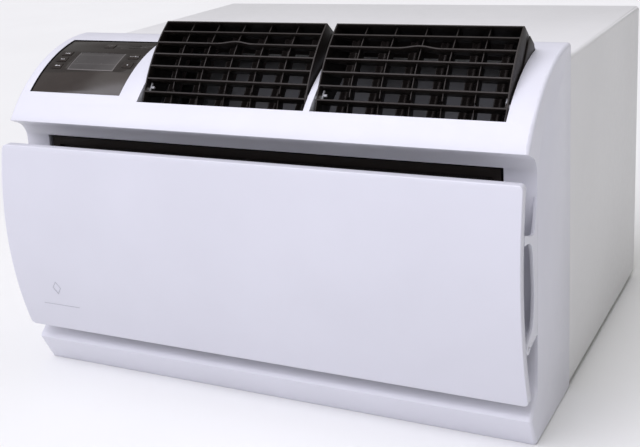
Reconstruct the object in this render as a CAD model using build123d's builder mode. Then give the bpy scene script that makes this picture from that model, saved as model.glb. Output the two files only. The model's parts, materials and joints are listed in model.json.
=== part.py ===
"""Room air conditioner for a window or a wall sleeve, in millimetres.

Frame: +X to the right seen from the room, +Y towards the outdoors, +Z up.
Origin: centre of the footprint, on the surface that the unit stands on.
The two louvre grilles are modelled tilted open, with their vanes turned to the left.
"""

import os
from math import asin, cos, degrees, radians, sin, sqrt

from build123d import *

os.makedirs("parts", exist_ok=True)

# ------------------------------------------------------------ driving dimensions
WIDTH = 614.0
BEZEL_TOP = 385.5
FRONT_Y = -274.3
REAR_Y = 274.3
SEAM_Y = -90.0  # where the bezel meets the cabinet
HALF_W = WIDTH / 2

# front bezel, side profile in YZ
SKIN = 2.8
CROWN_R = 186.0
CROWN_C = (-95.0, BEZEL_TOP - CROWN_R)
BROW_Y = -246.0
WALL_Y = -218.0
LEDGE_Z = 64.0
LIP_Y, LIP_Z = -240.0, 34.5
TOE_Y = -221.0
CROWN_EDGE, LIP_EDGE, BROW_EDGE = 4.0, 4.0, 1.2  # roundings

# intake opening in the bezel's recessed wall
INTAKE_HALF_W = 274.5
INTAKE_Z = (70.0, 286.0)
INTAKE_RIM = 10.0

# intake panel
PANEL_R = 389.2
PANEL_C = (FRONT_Y + PANEL_R, 191.4)
PANEL_HALF_W = 306.7
PANEL_Z = (56.0, 283.2)
PANEL_T = 4.0
PANEL_RIM = 10.0
PANEL_CORNER, PANEL_EDGE = 5.5, 1.2
PANEL_HINGE = (-250.5, 117.0)
HINGE_PIN_R = 2.0
ARM_X = 303.2  # inner face of the arms
EAR_X = (298.4, 302.6)
CATCH, CATCH_Z = (12.0, 6.0), 231.0

# air filter
FILTER_HALF_W = 271.0
FILTER_Z = (72.0, 283.5)
FILTER_Y = (-215.0, -207.0)
FILTER_RAIL = 9.0

# louvre grilles, each in a mouth in the bezel's crown
MOUTH_A = (97.7, 134.3)  # polar angles round the crown's centre
MOUTH_HALF_W = 103.0
MOUTH_X = (-36.5, 176.5)
GRILLE_R = 185.6
GRILLE_PIVOT = (-206.0, 342.0)
GRILLE_OPEN = 25.0
GRILLE_FOOT = (-223.0, 334.4)  # lower edge of the shut grille
GRILLE_HEAD = (-128.3, 382.5)  # upper edge of the shut grille
GRILLE_HALF_W = 99.4
GRILLE_WALL = 1.4
GRILLE_DEPTH = 33.0
SIDE_DEPTH = 22.0
CHEEK_R = 93.0
CHEEK_OUT, CHEEK_T = 2.1, 1.1
CHEEK_TOP = -17.0  # from the chord
REAR_A = (-21.0, -35.0)  # about the pivot, from the grille's chord
TRUNNION_R = 3.0
CLIP, CLIP_T, CLIP_ARM = (11.0, 2.6), 1.2, 5.0  # head that holds a trunnion in
BAR_T, BAR_DEPTH = 1.4, 12.0
ROWS, CELLS = 7, 6
CELL = 2 * GRILLE_HALF_W / CELLS
RIB_T, RIB_SET_BACK = 1.0, 4.5
WAVE_ROW, WAVE_W, WAVE_H = 5, 44.0, 2.6  # raised middle of the second bar from the top

# vanes behind each grille
VANE_DEPTH = 26.0  # axis below the chord of the grille
VANE_TURN = 35.0  # front edges to the left
VANE_T = 1.2
VANE_HALF_W = 8.0
VANE_PIN_R = 1.5
CRANK = 8.0
LINK_PIN_R = 1.2
RUN = 0.06  # radial running clearance

# control panel on the bezel's crown
LENS_X = (-291.0, -166.0)
LENS_A = (100.9, 132.1)
LENS_R = (184.7, 185.8)
DISPLAY_X = (-260.0, -194.0)
DISPLAY_A = (110.4, 121.0)
KEY_W, KEY_L = 13.0, 8.5
KEY_SLACK = 0.35
KEY_R = (180.2, 186.3)
KEY_FLANGE = (3.0, 2.0, 1.6)  # what its hidden rim adds to a key's width and length, and its thickness
WINDOW_R = 178.0  # keys' and sensor's windows start at this radius
WINDOW_DEPTH = 12.0
KEYS = {
    "key_mode": (-276.5, 111.8),
    "key_fan": (-276.5, 115.5),
    "key_timer": (-276.5, 119.3),
    "key_power": (-227.0, 105.5),
    "key_up": (-178.8, 112.6),
    "key_down": (-178.8, 117.7),
}
SENSOR = (-182.0, 105.3)
SENSOR_R = 3.2
BOARD_R, BOARD_A = (175.0, 176.6), (102.0, 131.0)
SWITCH, SWITCH_H = 6.0, (2.6, 3.5)
BOX_X, BOX_Y, BOX_Z = (-296.0, -160.0), (-185.0, -104.0), (297.0, 344.0)
BOX_WALL = 1.5
BOX_PARTS = ((-262.0, -194.0), (-160.0, -120.0), (298.0, 312.0))

# cabinet and base
SHEET = 1.2
CABINET_HALF_W = 306.4
CABINET_TOP = 372.0
CABINET_BOTTOM = 8.5
PAN_FLOOR = 10.0
PAN_HALF_W = 304.0
PAN_FLANGE = 32.0
RUNNER_X = 200.0
RUNNER_Y = (-88.0, 240.0)
RUNNER_W = 36.0
MOUNT_Y = (-60.0, 200.0)
MOUNT_HOLE_R = 3.3
DRAIN = (-150.0, 235.0)
DRAIN_R = 7.0
GLAND = (-120.0, 30.0)
GLAND_R = 8.0
CORD_R = 4.5

# air handling and refrigeration
FAN_X, FAN_Z = 40.0, 170.0
SHAFT_R = 6.0
WHEEL_R = 95.0
WHEEL_Y = (-150.0, -80.0)
FAN_R = 138.0
FAN_Y = (150.0, 185.0)
BULKHEAD_Y = -75.0
EVAP_X, EVAP_Y, EVAP_Z = (-245.0, 262.0), (-200.0, -165.0), (62.0, 280.0)
COND_X, COND_Y, COND_Z = (-284.0, 284.0), (205.0, 250.0), (14.0, 350.0)
FIN_PITCH, FIN_T, FIN_CORE = 9.0, 1.0, 3.0
DUCT_X, DUCT_Y, DUCT_Z = (-141.0, 281.5), (-207.5, -76.2), (286.8, 298.0)
MOTOR_R, MOTOR_HALF, MOTOR_NOSE_R, MOTOR_NOSE = 52.0, 46.0, 18.0, 58.0
CRADLE_HALF_W, CRADLE_Y = 40.0, 34.0
BLADES, BLADE_PITCH, BLADE_W, BLADE_T = 5, 24.0, 62.0, 2.4
HUB_R, HUB_L = 32.0, 30.0
WHEEL_BLADES, WHEEL_HUB_R, WHEEL_RING = 30, 14.0, 8.0
SHROUD_Y, SHROUD_W, SHROUD_H, SHROUD_Z = 196.0, 580.0, 340.0, 182.0
DUCT_WALL, HOUSING_GAP, HOUSING_WALL = 1.6, 14.0, 1.8
LINE_HOLES, LINE_HOLE_R = ((-272.0, 240.0), (-272.0, 90.0)), 9.0
COMPRESSOR = (-205.0, 100.0)
FOOT_R, GROMMET_R = 16.0, 11.0
COMPRESSOR_R = 62.0
COMPRESSOR_Z = (30.0, 250.0)
TUBE_R = 4.0
SUCTION_Z, DISCHARGE_Z, LIQUID_Z = 200.0, 310.0, 40.0
FLANGE, FLANGE_Y = 20.0, REAR_Y - 3.0
GUARD_HALF_W = 284.0
GUARD_Y = FLANGE_Y - SHEET - 0.2
SCREW_R, SCREW_HEAD = 4.0, 2.2
GUARD_Z = (24.0, 356.0)


# ------------------------------------------------------------ helpers
def save(piece, name):
    """Labels a finished piece and writes it."""
    piece.part.label = name
    export_step(piece.part, f"parts/{name}.step")


def crown_point(radius, angle):
    """A YZ point, polar round the crown's centre."""
    a = radians(angle)
    return (CROWN_C[0] + radius * cos(a), CROWN_C[1] + radius * sin(a))


def crown_sector(radii, angles):
    """Adds a ring sector round the crown's centre to a YZ sketch."""
    with BuildLine() as ring:
        CenterArc(CROWN_C, radii[1], angles[0], angles[1] - angles[0])
        Line(crown_point(radii[1], angles[1]), crown_point(radii[0], angles[1]))
        CenterArc(CROWN_C, radii[0], angles[0], angles[1] - angles[0])
        Line(crown_point(radii[0], angles[0]), crown_point(radii[1], angles[0]))
    make_face(ring.edges())


def crown_plane(x, radius, angle):
    """A plane that faces out of the crown, with its own X along the row's X."""
    y, z = crown_point(radius, angle)
    a = radians(angle)
    return Plane(origin=(x, y, z), x_dir=(1, 0, 0), z_dir=(0, cos(a), sin(a)))


def slab(x, y, z, mode=Mode.ADD):
    """A box between two X, two Y and two Z limits, in the part in hand."""
    with Locations(((x[0] + x[1]) / 2, (y[0] + y[1]) / 2, (z[0] + z[1]) / 2)):
        Box(x[1] - x[0], y[1] - y[0], z[1] - z[0], mode=mode)


def across(x_low, x_high, mode=Mode.ADD):
    """Extrudes the pending YZ sketch, drawn at x_low, up to x_high."""
    extrude(amount=x_high - x_low, mode=mode)


def panel_y(depth, z):
    """Y of a surface that lies a depth under the intake panel's face."""
    return PANEL_C[0] - sqrt((PANEL_R - depth) ** 2 - (z - PANEL_C[1]) ** 2)


# ------------------------------------------------------------ front bezel
def bezel_outline(mode=Mode.ADD):
    """The bezel's side profile, in a YZ sketch."""
    brow_a = 90 + degrees(asin((CROWN_C[0] - BROW_Y) / CROWN_R))
    brow = crown_point(CROWN_R, brow_a)
    with BuildLine() as profile:
        Line((SEAM_Y, BEZEL_TOP), (CROWN_C[0], BEZEL_TOP))
        CenterArc(CROWN_C, CROWN_R, 90, brow_a - 90)
        Line(brow, (WALL_Y - 12, brow[1] - 7.2))
        ThreePointArc((WALL_Y - 12, brow[1] - 7.2), (WALL_Y - 3.6, 293), (WALL_Y, 281.5))
        Line((WALL_Y, 281.5), (WALL_Y, LEDGE_Z))
        ThreePointArc((WALL_Y, LEDGE_Z), (WALL_Y - 5.3, 52.5), (LIP_Y + 3, LIP_Z + 4.4))
        Polyline((LIP_Y + 3, LIP_Z + 4.4), (LIP_Y, LIP_Z), (TOE_Y, 0), (SEAM_Y, 0), (SEAM_Y, BEZEL_TOP))
    make_face(profile.edges(), mode=mode)


def side_web():
    """Outline of a side web and its arms, added to a YZ sketch."""
    hinge_y, hinge_z = PANEL_HINGE
    with BuildLine() as web:
        Polyline(
            (-214, 264),
            (-218, 260),
            (-219.3, 252),
            (-221.9, 241.4),
            (-225.6, 231.6),
            (-228.2, 226.4),
            (-232, 226.2),
            (-242, 228.6),
            (-260.6, 234.8),
            (-260.6, 224.4),
            (-253, 224),
            (-244.5, 222),
            (-238.4, 218),
            (-235.2, 212.6),
            (-233.4, 205),
            (-231.6, 192),
            (-229.6, 176),
            (-229, 163),
            (-230.2, 151),
            (-232.2, 141),
            (-236, 131.4),
            (hinge_y + 2, hinge_z + 9),
            (hinge_y - 3.4, hinge_z + 6),
            (hinge_y - 5.4, hinge_z + 1),
            (hinge_y - 2.6, hinge_z - 4.8),
            (-240, 115.4),
            (-220.5, 119.2),
            (-214, 117),
            (-214, 264),
        )
    make_face(web.edges())
    with Locations(PANEL_HINGE):
        Circle(5.5)
        Circle(HINGE_PIN_R + RUN, mode=Mode.SUBTRACT)


def front_bezel():
    inside = HALF_W - SKIN
    with BuildPart() as bezel:
        with BuildSketch(Plane.YZ.offset(-HALF_W)) as outline:
            bezel_outline()
            fillet(outline.vertices().sort_by(Axis.Y)[0], radius=BROW_EDGE)
        across(-HALF_W, HALF_W)
        crown_edges = bezel.faces().filter_by(Axis.X).edges().filter_by(GeomType.CIRCLE)
        fillet(crown_edges.sort_by(SortBy.LENGTH)[-2:], radius=CROWN_EDGE)
        side_edges = bezel.faces().filter_by(Axis.X).edges()
        lip_edges = [e for e in side_edges if (e @ 0.5).Z < LEDGE_Z and (e @ 0.5).Y < TOE_Y + 2]
        fillet(lip_edges, radius=LIP_EDGE)
        with BuildSketch(Plane.YZ.offset(-inside)) as cavity:
            bezel_outline()
            offset(amount=-SKIN, kind=Kind.INTERSECTION, mode=Mode.REPLACE)
        across(-inside, inside, Mode.SUBTRACT)
        cabinet_z = (CABINET_BOTTOM, CABINET_TOP - 1)
        slab((-inside, inside), (SEAM_Y - SKIN - 1, SEAM_Y + 1), cabinet_z, Mode.SUBTRACT)

        # rim behind the intake opening, then the opening itself
        rim = (INTAKE_HALF_W + 2, INTAKE_Z[0] - 2, INTAKE_Z[1] + 2)
        slab((-rim[0], rim[0]), (WALL_Y + 1, WALL_Y + INTAKE_RIM), (rim[1], rim[2]))
        slab(
            (-INTAKE_HALF_W, INTAKE_HALF_W),
            (WALL_Y - 6, WALL_Y + INTAKE_RIM + 1),
            INTAKE_Z,
            Mode.SUBTRACT,
        )

        # outlet mouths with side returns that carry the trunnions
        for centre in MOUTH_X:
            for side in (-1, 1):
                edge = centre + side * (MOUTH_HALF_W + 1)
                with BuildSketch(Plane.YZ.offset(edge - 1)):
                    crown_sector((158, CROWN_R - 1), (MOUTH_A[0] - 0.6, MOUTH_A[1] + 1))
                across(-1, 1)
            low = centre - MOUTH_HALF_W
            with BuildSketch(Plane.YZ.offset(low)):
                crown_sector((150, CROWN_R + 9), MOUTH_A)
            across(low, low + 2 * MOUTH_HALF_W, Mode.SUBTRACT)
            with BuildSketch(Plane.YZ.offset(low - 2)):
                with Locations(GRILLE_PIVOT):
                    Circle(TRUNNION_R + RUN)
            across(low - 2, low + 2 * MOUTH_HALF_W + 2, Mode.SUBTRACT)

        # seat of the control lens, with the keys', display's and sensor's windows
        with BuildSketch(Plane.YZ.offset(LENS_X[0] - 0.2)):
            crown_sector((LENS_R[0] - 0.1, CROWN_R + 5), (LENS_A[0] - 0.06, LENS_A[1] + 0.06))
        across(LENS_X[0] - 0.2, LENS_X[1] + 0.2, Mode.SUBTRACT)
        for x, angle in KEYS.values():
            with BuildSketch(crown_plane(x, WINDOW_R, angle)):
                Rectangle(KEY_W + 2 * KEY_SLACK, KEY_L + 2 * KEY_SLACK)
            extrude(amount=WINDOW_DEPTH, mode=Mode.SUBTRACT)
        with BuildSketch(Plane.YZ.offset(DISPLAY_X[0] - 0.5)):
            crown_sector((175, CROWN_R + 5), (DISPLAY_A[0] - 0.2, DISPLAY_A[1] + 0.2))
        across(DISPLAY_X[0] - 0.5, DISPLAY_X[1] + 0.5, Mode.SUBTRACT)
        with BuildSketch(crown_plane(SENSOR[0], WINDOW_R, SENSOR[1])):
            Circle(SENSOR_R + 0.2)
        extrude(amount=WINDOW_DEPTH, mode=Mode.SUBTRACT)

        # hole of the cord's inlet, in the left side
        with BuildSketch(Plane.YZ.offset(-HALF_W - 1)):
            with Locations(GLAND):
                Circle(GLAND_R)
        extrude(amount=SKIN + 2, mode=Mode.SUBTRACT)
    save(bezel, "front_bezel")


def panel_arms():
    """The two side webs whose arms carry the intake panel, flush with the bezel's sides."""
    with BuildPart() as arms:
        for low in (-HALF_W, ARM_X):
            with BuildSketch(Plane.YZ.offset(low)):
                side_web()
                bezel_outline(Mode.SUBTRACT)
            across(low, low + HALF_W - ARM_X)
    save(arms, "panel_arms")


# ------------------------------------------------------------ intake panel
def intake_panel():
    with BuildPart() as panel:
        with BuildSketch(Plane.XZ.offset(-FRONT_Y + 5)):
            with Locations((0, sum(PANEL_Z) / 2)):
                RectangleRounded(2 * PANEL_HALF_W, PANEL_Z[1] - PANEL_Z[0], PANEL_CORNER)
        extrude(amount=-60)
        with BuildSketch(Plane.YZ.offset(-HALF_W)):
            with Locations(PANEL_C):
                Circle(PANEL_R)
                Circle(PANEL_R - PANEL_RIM, mode=Mode.SUBTRACT)
        extrude(amount=WIDTH, mode=Mode.INTERSECT)
        fillet(panel.faces().sort_by(Axis.Y)[0].edges(), radius=PANEL_EDGE)
        inner = PANEL_HALF_W - 3
        with BuildSketch(Plane.YZ.offset(-inner)):
            with Locations(PANEL_C):
                Circle(PANEL_R - PANEL_T)
            with Locations((PANEL_C[0], sum(PANEL_Z) / 2)):
                Rectangle(2 * PANEL_R, PANEL_Z[1] - PANEL_Z[0] - 6, mode=Mode.INTERSECT)
            with Locations((PANEL_C[0], sum(PANEL_Z) / 2)):
                Rectangle(2 * PANEL_R - 2 * 60, 400, mode=Mode.SUBTRACT)
        extrude(amount=2 * inner, mode=Mode.SUBTRACT)
        for side in (-1, 1):
            low = min(side * EAR_X[0], side * EAR_X[1])
            with BuildSketch(Plane.YZ.offset(low)):
                front = panel_y(PANEL_T - 1, PANEL_HINGE[1])
                with Locations(((front + PANEL_HINGE[0]) / 2, PANEL_HINGE[1])):
                    Rectangle(PANEL_HINGE[0] - front, 10)
                with Locations(PANEL_HINGE):
                    Circle(5)
                    Circle(HINGE_PIN_R, mode=Mode.SUBTRACT)
                catch = panel_y(PANEL_T - 1, CATCH_Z)
                with Locations((catch + CATCH[0] / 2, CATCH_Z)):
                    Rectangle(*CATCH)
            extrude(amount=EAR_X[1] - EAR_X[0])
    save(panel, "intake_panel")

    with BuildPart() as pins:
        for side in (-1, 1):
            with BuildSketch(Plane.YZ.offset(side * EAR_X[0])):
                with Locations(PANEL_HINGE):
                    Circle(HINGE_PIN_R)
            extrude(amount=side * (HALF_W - EAR_X[0] - 0.5))
    save(pins, "panel_hinge_pins")


def air_filter():
    with BuildPart() as frame:
        slab((-FILTER_HALF_W, FILTER_HALF_W), FILTER_Y, FILTER_Z)
        open_x = FILTER_HALF_W - FILTER_RAIL
        open_z = (FILTER_Z[0] + FILTER_RAIL, FILTER_Z[1] - FILTER_RAIL)
        slab((-open_x, open_x), (FILTER_Y[0] - 1, FILTER_Y[1] + 1), open_z, Mode.SUBTRACT)
        for i in range(1, 6):
            x = -FILTER_HALF_W + i * FILTER_HALF_W / 3
            slab((x - 1.5, x + 1.5), (FILTER_Y[1] - 3, FILTER_Y[1]), (open_z[0] - 1, open_z[1] + 1))
        for i in range(1, 3):
            z = FILTER_Z[0] + i * (FILTER_Z[1] - FILTER_Z[0]) / 3
            slab((-open_x - 1, open_x + 1), (FILTER_Y[1] - 3, FILTER_Y[1]), (z - 1.5, z + 1.5))
        for side in (-1, 1):
            with BuildSketch(Plane.YZ.offset(side * FILTER_HALF_W)):
                with Locations((sum(FILTER_Y) / 2, FILTER_Z[0] + 2)):
                    Circle(1.5)
            extrude(amount=side * 2.5)
    save(frame, "filter_frame")

    with BuildPart() as mesh:
        slab((-open_x, open_x), (FILTER_Y[1] - 4, FILTER_Y[1] - 3), open_z)
    save(mesh, "filter_mesh")


# ------------------------------------------------------------ louvre grilles
# A grille is drawn in its chord's plane: s runs from its lower edge to its upper
# one, and h stands out of it, towards the room.
FOOT = (GRILLE_FOOT[0] - GRILLE_PIVOT[0], GRILLE_FOOT[1] - GRILLE_PIVOT[1])
HEAD = (GRILLE_HEAD[0] - GRILLE_PIVOT[0], GRILLE_HEAD[1] - GRILLE_PIVOT[1])
CHORD = sqrt((HEAD[0] - FOOT[0]) ** 2 + (HEAD[1] - FOOT[1]) ** 2)
SHUT_A = degrees(asin((HEAD[1] - FOOT[1]) / CHORD))
CHORD_A = radians(SHUT_A + GRILLE_OPEN)
OPEN = radians(GRILLE_OPEN)
FOOT_Y = GRILLE_PIVOT[0] + FOOT[0] * cos(OPEN) - FOOT[1] * sin(OPEN)
FOOT_Z = GRILLE_PIVOT[1] + FOOT[0] * sin(OPEN) + FOOT[1] * cos(OPEN)
SAG = sqrt(GRILLE_R**2 - (CHORD / 2) ** 2)
PIVOT_S = -FOOT[0] * cos(radians(SHUT_A)) - FOOT[1] * sin(radians(SHUT_A))
PIVOT_H = FOOT[0] * sin(radians(SHUT_A)) - FOOT[1] * cos(radians(SHUT_A))
ROW_PITCH = CHORD / ROWS
VANE_S = (12.0, CHORD - 9.0)
VANE_X = [CELL * (i + 0.5) - GRILLE_HALF_W for i in range(CELLS)]


def chord_plane(x):
    """A grille's drawing plane: local X is s, local Y is h."""
    along = (0, cos(CHORD_A), sin(CHORD_A))
    return Plane(origin=(x, FOOT_Y, FOOT_Z), x_dir=along, z_dir=(1, 0, 0))


def vane_plane(x, s, turn=0.0):
    """A plane across a vane's axis, whose local Y points into the unit, turned by some degrees."""
    along = (0, cos(CHORD_A), sin(CHORD_A))
    c, k = cos(radians(turn)), sin(radians(turn))
    y = FOOT_Y + s * cos(CHORD_A) + VANE_DEPTH * sin(CHORD_A)
    z = FOOT_Z + s * sin(CHORD_A) - VANE_DEPTH * cos(CHORD_A)
    return Plane(origin=(x, y, z), x_dir=(c, -k * sin(CHORD_A), k * cos(CHORD_A)), z_dir=along)


def front_plane(x, h):
    """A plane along a grille's face: local X is the row's X, local Y is s."""
    out = (0, -sin(CHORD_A), cos(CHORD_A))
    origin = (x, FOOT_Y - h * sin(CHORD_A), FOOT_Z + h * cos(CHORD_A))
    return Plane(origin=origin, x_dir=(1, 0, 0), z_dir=out)


def face_h(s):
    """Height of the grille's face over its chord."""
    return sqrt(GRILLE_R**2 - (s - CHORD / 2) ** 2) - SAG


def grille_band(low, high, depth, set_back=0.0):
    """A strip of the grille from its face inwards, between two values of s."""
    with BuildLine() as strip:
        ThreePointArc(
            (low, face_h(low) - set_back),
            ((low + high) / 2, face_h((low + high) / 2) - set_back),
            (high, face_h(high) - set_back),
        )
        Polyline(
            (high, face_h(high) - set_back),
            (high, face_h(high) - depth),
            (low, face_h(low) - depth),
            (low, face_h(low) - set_back),
        )
    make_face(strip.edges())


def round_pivot(angle):
    """A point of the chord's plane on the grille's swept radius."""
    return (PIVOT_S + CHEEK_R * cos(radians(angle)), PIVOT_H + CHEEK_R * sin(radians(angle)))


def side_wall():
    """Side wall of a grille, from its face to a straight inner edge."""
    with BuildLine() as side:
        ThreePointArc((0, 0), (CHORD / 2, face_h(CHORD / 2)), (CHORD, 0))
        Polyline((CHORD, 0), (CHORD, -SIDE_DEPTH), (0, -SIDE_DEPTH), (0, 0))
    make_face(side.edges())


def cheek():
    """The quadrant outside a side wall, which stays in the mouth as the grille opens."""
    with BuildLine() as quadrant:
        ThreePointArc(round_pivot(REAR_A[0]), round_pivot(sum(REAR_A) / 2), round_pivot(REAR_A[1]))
        Polyline(
            round_pivot(REAR_A[1]),
            (26, -GRILLE_DEPTH),
            (4, -GRILLE_DEPTH),
            (4, CHEEK_TOP),
            (CHORD - 1.5, CHEEK_TOP),
            round_pivot(REAR_A[0]),
        )
    make_face(quadrant.edges())


def rear_wall():
    """The strip behind the upper edge, which closes the mouth above the open grille."""
    with Locations((PIVOT_S, PIVOT_H)):
        Circle(CHEEK_R)
        Circle(CHEEK_R - GRILLE_WALL, mode=Mode.SUBTRACT)
    first, last = round_pivot(REAR_A[0] + 1.5), round_pivot(REAR_A[1] + 1)
    with BuildLine() as wedge:
        Polyline(
            (PIVOT_S, PIVOT_H),
            (2 * first[0] - PIVOT_S, 2 * first[1] - PIVOT_H),
            (2 * last[0] - PIVOT_S, 2 * last[1] - PIVOT_H),
            (PIVOT_S, PIVOT_H),
        )
    make_face(wedge.edges(), mode=Mode.INTERSECT)


def wave_bar(x_low, s):
    """The middle of a bar, raised in a wave for a fingertip, added to a sketch across h."""
    edges = []
    for side in (-BAR_T / 2, BAR_T / 2):
        ends = ((x_low, s + side), (x_low + WAVE_W, s + side))
        top = (x_low + WAVE_W / 2, s + side + WAVE_H)
        with BuildLine() as wave:
            Spline(ends[0], top, tangents=((1, 0), (1, 0)))
            Spline(top, ends[1], tangents=((1, 0), (1, 0)))
        edges += wave.edges()
    with BuildLine() as caps:
        for x in (x_low, x_low + WAVE_W):
            Line((x, s - BAR_T / 2), (x, s + BAR_T / 2))
    make_face(edges + list(caps.edges()))


def louvre_grille(centre, name):
    inner = GRILLE_HALF_W
    with BuildPart() as grille:
        for side in (-1, 1):
            with BuildSketch(chord_plane(centre + side * inner)):
                side_wall()
            extrude(amount=side * GRILLE_WALL)
            with BuildSketch(chord_plane(centre + side * (inner + CHEEK_OUT))):
                cheek()
            extrude(amount=side * CHEEK_T)
            with BuildSketch(chord_plane(centre + side * inner)):
                with Locations((CHORD / 2, CHEEK_TOP - 3.5)):
                    Rectangle(CHORD - 20, 3)
            extrude(amount=side * (CHEEK_OUT + 0.3))
        with BuildSketch(chord_plane(centre - inner - 0.5)):
            grille_band(0, GRILLE_WALL, GRILLE_DEPTH)
            grille_band(CHORD - GRILLE_WALL, CHORD, GRILLE_DEPTH)
            for row in range(1, ROWS):
                s = row * ROW_PITCH
                if row != WAVE_ROW:
                    grille_band(s - BAR_T / 2, s + BAR_T / 2, BAR_DEPTH)
        extrude(amount=2 * inner + 1)
        with BuildSketch(chord_plane(centre - inner - CHEEK_OUT - 0.2)):
            rear_wall()
        extrude(amount=2 * (inner + CHEEK_OUT + 0.2))
        wave_s = WAVE_ROW * ROW_PITCH
        for side in (-1, 1):
            with BuildSketch(chord_plane(centre + side * WAVE_W / 2)):
                grille_band(wave_s - BAR_T / 2, wave_s + BAR_T / 2, BAR_DEPTH)
            extrude(amount=side * (inner + 0.5 - WAVE_W / 2))
        with BuildSketch(front_plane(centre, face_h(wave_s) - BAR_DEPTH)):
            wave_bar(-WAVE_W / 2, wave_s)
        extrude(amount=BAR_DEPTH)
        for i in range(1, CELLS):
            with BuildSketch(chord_plane(centre - inner + i * CELL - RIB_T / 2)):
                with Locations((CHORD / 2, -SAG)):
                    Circle(GRILLE_R - RIB_SET_BACK)
                    Circle(GRILLE_R - RIB_SET_BACK - BAR_DEPTH, mode=Mode.SUBTRACT)
                with Locations((CHORD / 2, 0)):
                    Rectangle(CHORD - 1, 80, mode=Mode.INTERSECT)
            extrude(amount=RIB_T)

        # trunnion bosses and holes, then the vanes' pivot holes
        for side in (-1, 1):
            with BuildSketch(chord_plane(centre + side * inner)):
                with Locations((PIVOT_S, PIVOT_H - 1.5)):
                    Circle(5)
            extrude(amount=-side * 2)
        with BuildSketch(chord_plane(centre - MOUTH_HALF_W)):
            with Locations((PIVOT_S, PIVOT_H)):
                Circle(TRUNNION_R)
        extrude(amount=2 * MOUTH_HALF_W, mode=Mode.SUBTRACT)
        for x in VANE_X:
            with BuildSketch(vane_plane(centre + x, -1)):
                Circle(VANE_PIN_R + RUN)
            extrude(amount=CHORD + 2, mode=Mode.SUBTRACT)
    save(grille, f"louvre_grille_{name}")

    with BuildPart() as trunnions:
        for side in (-1, 1):
            with BuildSketch(chord_plane(centre + side * (inner - 2))):
                with Locations((PIVOT_S, PIVOT_H)):
                    Circle(TRUNNION_R)
            extrude(amount=side * (MOUTH_HALF_W + 1.8 - inner + 2))
            with BuildSketch(chord_plane(centre + side * (inner - 2))):
                with Locations((PIVOT_S + CLIP[0] / 2 - 1.6, PIVOT_H - 1.5)):
                    Rectangle(*CLIP)
            extrude(amount=-side * CLIP_T)
        with BuildSketch(chord_plane(centre - inner + 2)):
            with Locations((PIVOT_S + CLIP[0] / 2 - 1.6, PIVOT_H - 1.5)):
                Rectangle(2.4, CLIP[1])
        extrude(amount=CLIP_ARM)
    save(trunnions, f"trunnions_{name}")


def vane(x, name):
    """A vane with its two pins and the crank that its link bar drives."""
    with BuildPart() as blade:
        with BuildSketch(vane_plane(x, VANE_S[0], VANE_TURN)):
            RectangleRounded(VANE_T, 2 * VANE_HALF_W, 0.5)
        extrude(amount=VANE_S[1] - VANE_S[0])
        with BuildSketch(vane_plane(x, GRILLE_WALL + 0.4)):
            Circle(2.2)
        extrude(amount=CHORD - 2 * GRILLE_WALL - 0.8)
        with BuildSketch(vane_plane(x, 0.1)):
            Circle(VANE_PIN_R)
        extrude(amount=CHORD - 0.8)
        with BuildSketch(vane_plane(x, 10.0, VANE_TURN)):
            with Locations((0, CRANK / 2)):
                SlotOverall(CRANK + 5, 4.4, rotation=90)
        extrude(amount=2.4)
        with BuildSketch(vane_plane(x, 6.0, VANE_TURN)):
            with Locations((0, CRANK)):
                Circle(LINK_PIN_R)
        extrude(amount=4.4)
    save(blade, name)


def vane_link(centre, name):
    """The bar that turns a grille's six vanes together."""
    turn = radians(VANE_TURN)
    shift = (CRANK * sin(turn), CRANK * cos(turn))
    with BuildPart() as bar:
        with BuildSketch(vane_plane(centre, 7.2)):
            with Locations(shift):
                SlotOverall(2 * GRILLE_HALF_W - CELL + 8, 5)
            with Locations([(x + shift[0], shift[1]) for x in VANE_X]):
                Circle(LINK_PIN_R + RUN, mode=Mode.SUBTRACT)
        extrude(amount=2)
    save(bar, f"vane_link_{name}")


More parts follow.
